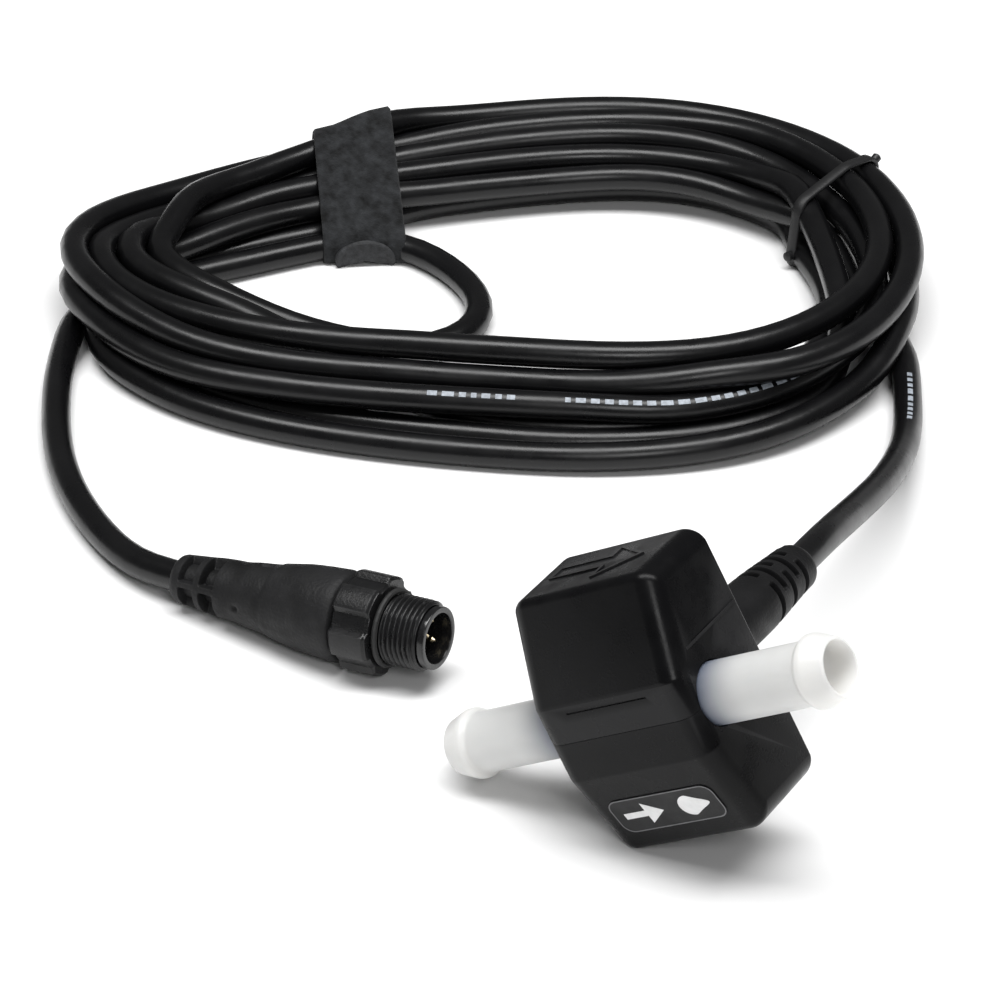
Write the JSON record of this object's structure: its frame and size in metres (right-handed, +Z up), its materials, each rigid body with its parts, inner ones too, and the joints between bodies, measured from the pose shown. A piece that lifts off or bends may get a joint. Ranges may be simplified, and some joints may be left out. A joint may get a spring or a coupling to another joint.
{
  "type": "in-line turbine fuel flow sensor",
  "caption": "In-line turbine flow sensor for small fuel hose: split black housing, milky hose barbs, coiled cable with strap, and a threaded round connector.",
  "frame": {"origin": "on the table under the middle of the sensor body's bounding box", "axes": "+X towards the raised outlet end, +Y towards the cable side, +Z up from the table"},
  "size_m": [0.2169, 0.2153, 0.0496],
  "materials": {
    "housing_black": "moulded, semi-gloss with a fine grain",
    "label_black": "printed sticker, satin",
    "milky_nylon": "translucent milky white",
    "chamber_grey": "moulded, satin",
    "seal_rubber": "matte",
    "rotor_white": "moulded, satin",
    "magnet_grey": "sintered, dull",
    "shaft_steel": "ground",
    "board_green": "solder mask",
    "chip_black": "moulded epoxy",
    "tantalum": "moulded epoxy",
    "wire_sleeve": "soft sleeve",
    "relief_black": "soft moulded, matte",
    "cable_black": "satin sheath",
    "strap_charcoal": "hook-and-loop, fuzzy",
    "tie_black": "satin",
    "nut_black": "moulded, satin",
    "insert_black": "moulded, glossy nose",
    "boot_black": "soft moulded, fine grain",
    "contact_gold": "gold plated"
  },
  "bodies": {
    "sensor": {"housing_upper": "housing_black", "housing_lower": "housing_black", "label": "label_black", "inlet_barb": "milky_nylon", "outlet_barb": "milky_nylon", "flow_chamber": "chamber_grey", "inlet_o_ring": "seal_rubber", "outlet_o_ring": "seal_rubber", "inlet_bearing": "chamber_grey", "outlet_bearing": "chamber_grey", "rotor_shaft": "shaft_steel", "circuit_board": "board_green", "hall_sensor": "chip_black", "microcontroller": "chip_black", "bus_transceiver": "chip_black", "voltage_regulator": "chip_black", "supply_capacitor": "tantalum", "filter_capacitor": "tantalum", "supply_wire": "wire_sleeve", "signal_wire_high": "wire_sleeve", "shield_wire": "wire_sleeve", "signal_wire_low": "wire_sleeve", "ground_wire": "wire_sleeve", "strain_relief": "relief_black", "cable_to_sensor": "cable_black", "cable_to_connector": "cable_black", "cable_coil": "cable_black", "coil_strap": "strap_charcoal", "coil_tie": "tie_black", "contact_insert": "insert_black", "connector_boot": "boot_black", "contact_pin_1": "contact_gold", "contact_pin_2": "contact_gold", "contact_pin_3": "contact_gold", "contact_pin_4": "contact_gold", "contact_pin_5": "contact_gold"},
    "rotor": {"turbine_rotor": "rotor_white", "rotor_magnet": "magnet_grey"},
    "nut": {"coupling_nut": "nut_black", "connector_o_ring": "seal_rubber"}
  },
  "joints": [
    {"name": "rotor_spin", "type": "hinge", "parent": "sensor", "child": "rotor", "pos_m": [0, -0.0034, 0.02477], "axis": [0.8572, 0, 0.515], "continuous": true},
    {"name": "nut_spin", "type": "hinge", "parent": "sensor", "child": "nut", "pos_m": [-0.048, 0.0153, 0.00965], "axis": [0.9953, 0.0278, 0.0924], "continuous": true}
  ]
}
